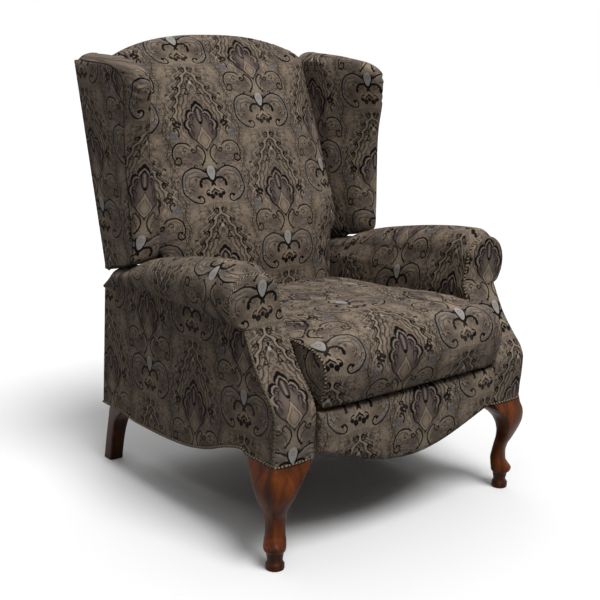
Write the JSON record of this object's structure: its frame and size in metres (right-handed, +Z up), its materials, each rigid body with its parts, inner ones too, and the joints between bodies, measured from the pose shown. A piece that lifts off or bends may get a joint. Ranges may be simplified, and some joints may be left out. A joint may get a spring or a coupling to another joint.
{
  "type": "wingback recliner",
  "caption": "Upholstered push-back recliner with wings, rolled arms and cabriole front legs; the back leans, the seat slides forward and the footrest swings up.",
  "frame": {"origin": "on the floor under the middle of the chair's bounding box, upright", "axes": "+Z up, the chair faces -Y, +X is the sitter's left and the right of someone who faces the chair"},
  "size_m": [0.8158, 0.8666, 1.1037],
  "materials": {
    "upholstery": "woven taupe damask with plum, grey-blue and rose figures",
    "leg_wood": "glossy cherry",
    "frame_wood": "raw",
    "lining": "black lining",
    "steel": "satin black"
  },
  "bodies": {
    "base": {"front_leg_left": "leg_wood", "front_leg_right": "leg_wood", "rear_leg_left": "leg_wood", "rear_leg_right": "leg_wood", "arm_frame_left": "frame_wood", "arm_frame_right": "frame_wood", "arm_cover_left": "upholstery", "arm_cover_right": "upholstery", "arm_facing_left": "upholstery", "arm_facing_right": "upholstery", "side_plate_left": "steel", "side_plate_right": "steel", "middle_rail": "frame_wood", "rear_rail": "frame_wood", "rear_apron": "upholstery"},
    "back": {"back_cushion": "upholstery", "outside_back": "upholstery", "back_lower_rail": "frame_wood", "back_middle_rail": "frame_wood", "back_top_rail": "frame_wood", "back_post_left": "frame_wood", "back_post_right": "frame_wood", "back_bracket_left": "steel", "back_bracket_right": "steel", "wing_left": "upholstery", "wing_right": "upholstery", "wing_frame_left": "frame_wood", "wing_frame_right": "frame_wood"},
    "front_swing": {"front_swing_link_left": "steel", "front_swing_link_right": "steel"},
    "seat": {"seat_side_rail_left": "frame_wood", "seat_side_rail_right": "frame_wood", "seat_front_rail": "frame_wood", "seat_rear_rail": "frame_wood", "seat_spring_1": "steel", "seat_spring_2": "steel", "seat_spring_3": "steel", "seat_spring_4": "steel", "seat_spring_5": "steel", "seat_deck": "lining", "seat_cushion": "upholstery"},
    "rear_swing": {"rear_swing_link_left": "steel", "rear_swing_link_right": "steel"},
    "lower_front_links": {"lower_front_link_left": "steel", "lower_front_link_right": "steel"},
    "lower_rear_links": {"lower_rear_link_left": "steel", "lower_rear_link_right": "steel"},
    "upper_front_links": {"upper_front_link_left": "steel", "upper_front_link_right": "steel"},
    "upper_rear_links": {"upper_rear_link_left": "steel", "upper_rear_link_right": "steel", "footrest_cross_tube": "steel"},
    "footrest": {"footrest_bracket_left": "steel", "footrest_bracket_right": "steel", "footrest_board": "frame_wood", "footrest_pad": "upholstery"}
  },
  "joints": [
    {"name": "back_recline", "type": "hinge", "parent": "base", "child": "back", "pos_m": [0, 0.252, 0.43], "axis": [-1, 0, 0], "range_deg": [0, 30]},
    {"name": "front_swing_turn", "type": "hinge", "parent": "base", "child": "front_swing", "pos_m": [0, -0.043, 0.24], "axis": [1, 0, 0], "range_deg": [0, 30]},
    {"name": "seat_on_swing", "type": "hinge", "parent": "front_swing", "child": "seat", "pos_m": [0, 0.00602, 0.31548], "axis": [-1, 0, 0], "range_deg": [0, 30]},
    {"name": "rear_swing_turn", "type": "hinge", "parent": "base", "child": "rear_swing", "pos_m": [0, 0.112, 0.24], "axis": [1, 0, 0], "range_deg": [0, 30]},
    {"name": "lower_front_turn", "type": "hinge", "parent": "base", "child": "lower_front_links", "pos_m": [0, -0.346, 0.328], "axis": [-1, 0, 0], "range_deg": [0, 124]},
    {"name": "lower_rear_turn", "type": "hinge", "parent": "base", "child": "lower_rear_links", "pos_m": [0, -0.282, 0.328], "axis": [-1, 0, 0], "range_deg": [0, 124.6]},
    {"name": "upper_front_turn", "type": "hinge", "parent": "lower_front_links", "child": "upper_front_links", "pos_m": [0, -0.167, 0.199], "axis": [1, 0, 0], "range_deg": [0, 124.5]},
    {"name": "upper_rear_turn", "type": "hinge", "parent": "lower_rear_links", "child": "upper_rear_links", "pos_m": [0, -0.092, 0.218], "axis": [1, 0, 0], "range_deg": [0, 128.8]},
    {"name": "footrest_turn", "type": "hinge", "parent": "upper_front_links", "child": "footrest", "pos_m": [0, -0.353, 0.3], "axis": [-1, 0, 0], "range_deg": [0, 90.9]}
  ],
  "couplings": [
    {"joint": "front_swing_turn", "follows": "back_recline", "ratio": 1},
    {"joint": "seat_on_swing", "follows": "back_recline", "ratio": 1},
    {"joint": "rear_swing_turn", "follows": "back_recline", "ratio": 1},
    {"joint": "lower_front_turn", "follows": "back_recline", "ratio": 4.1333},
    {"joint": "lower_rear_turn", "follows": "back_recline", "ratio": 4.1533},
    {"joint": "upper_front_turn", "follows": "back_recline", "ratio": 4.15},
    {"joint": "upper_rear_turn", "follows": "back_recline", "ratio": 4.2933},
    {"joint": "footrest_turn", "follows": "back_recline", "ratio": 3.03}
  ]
}
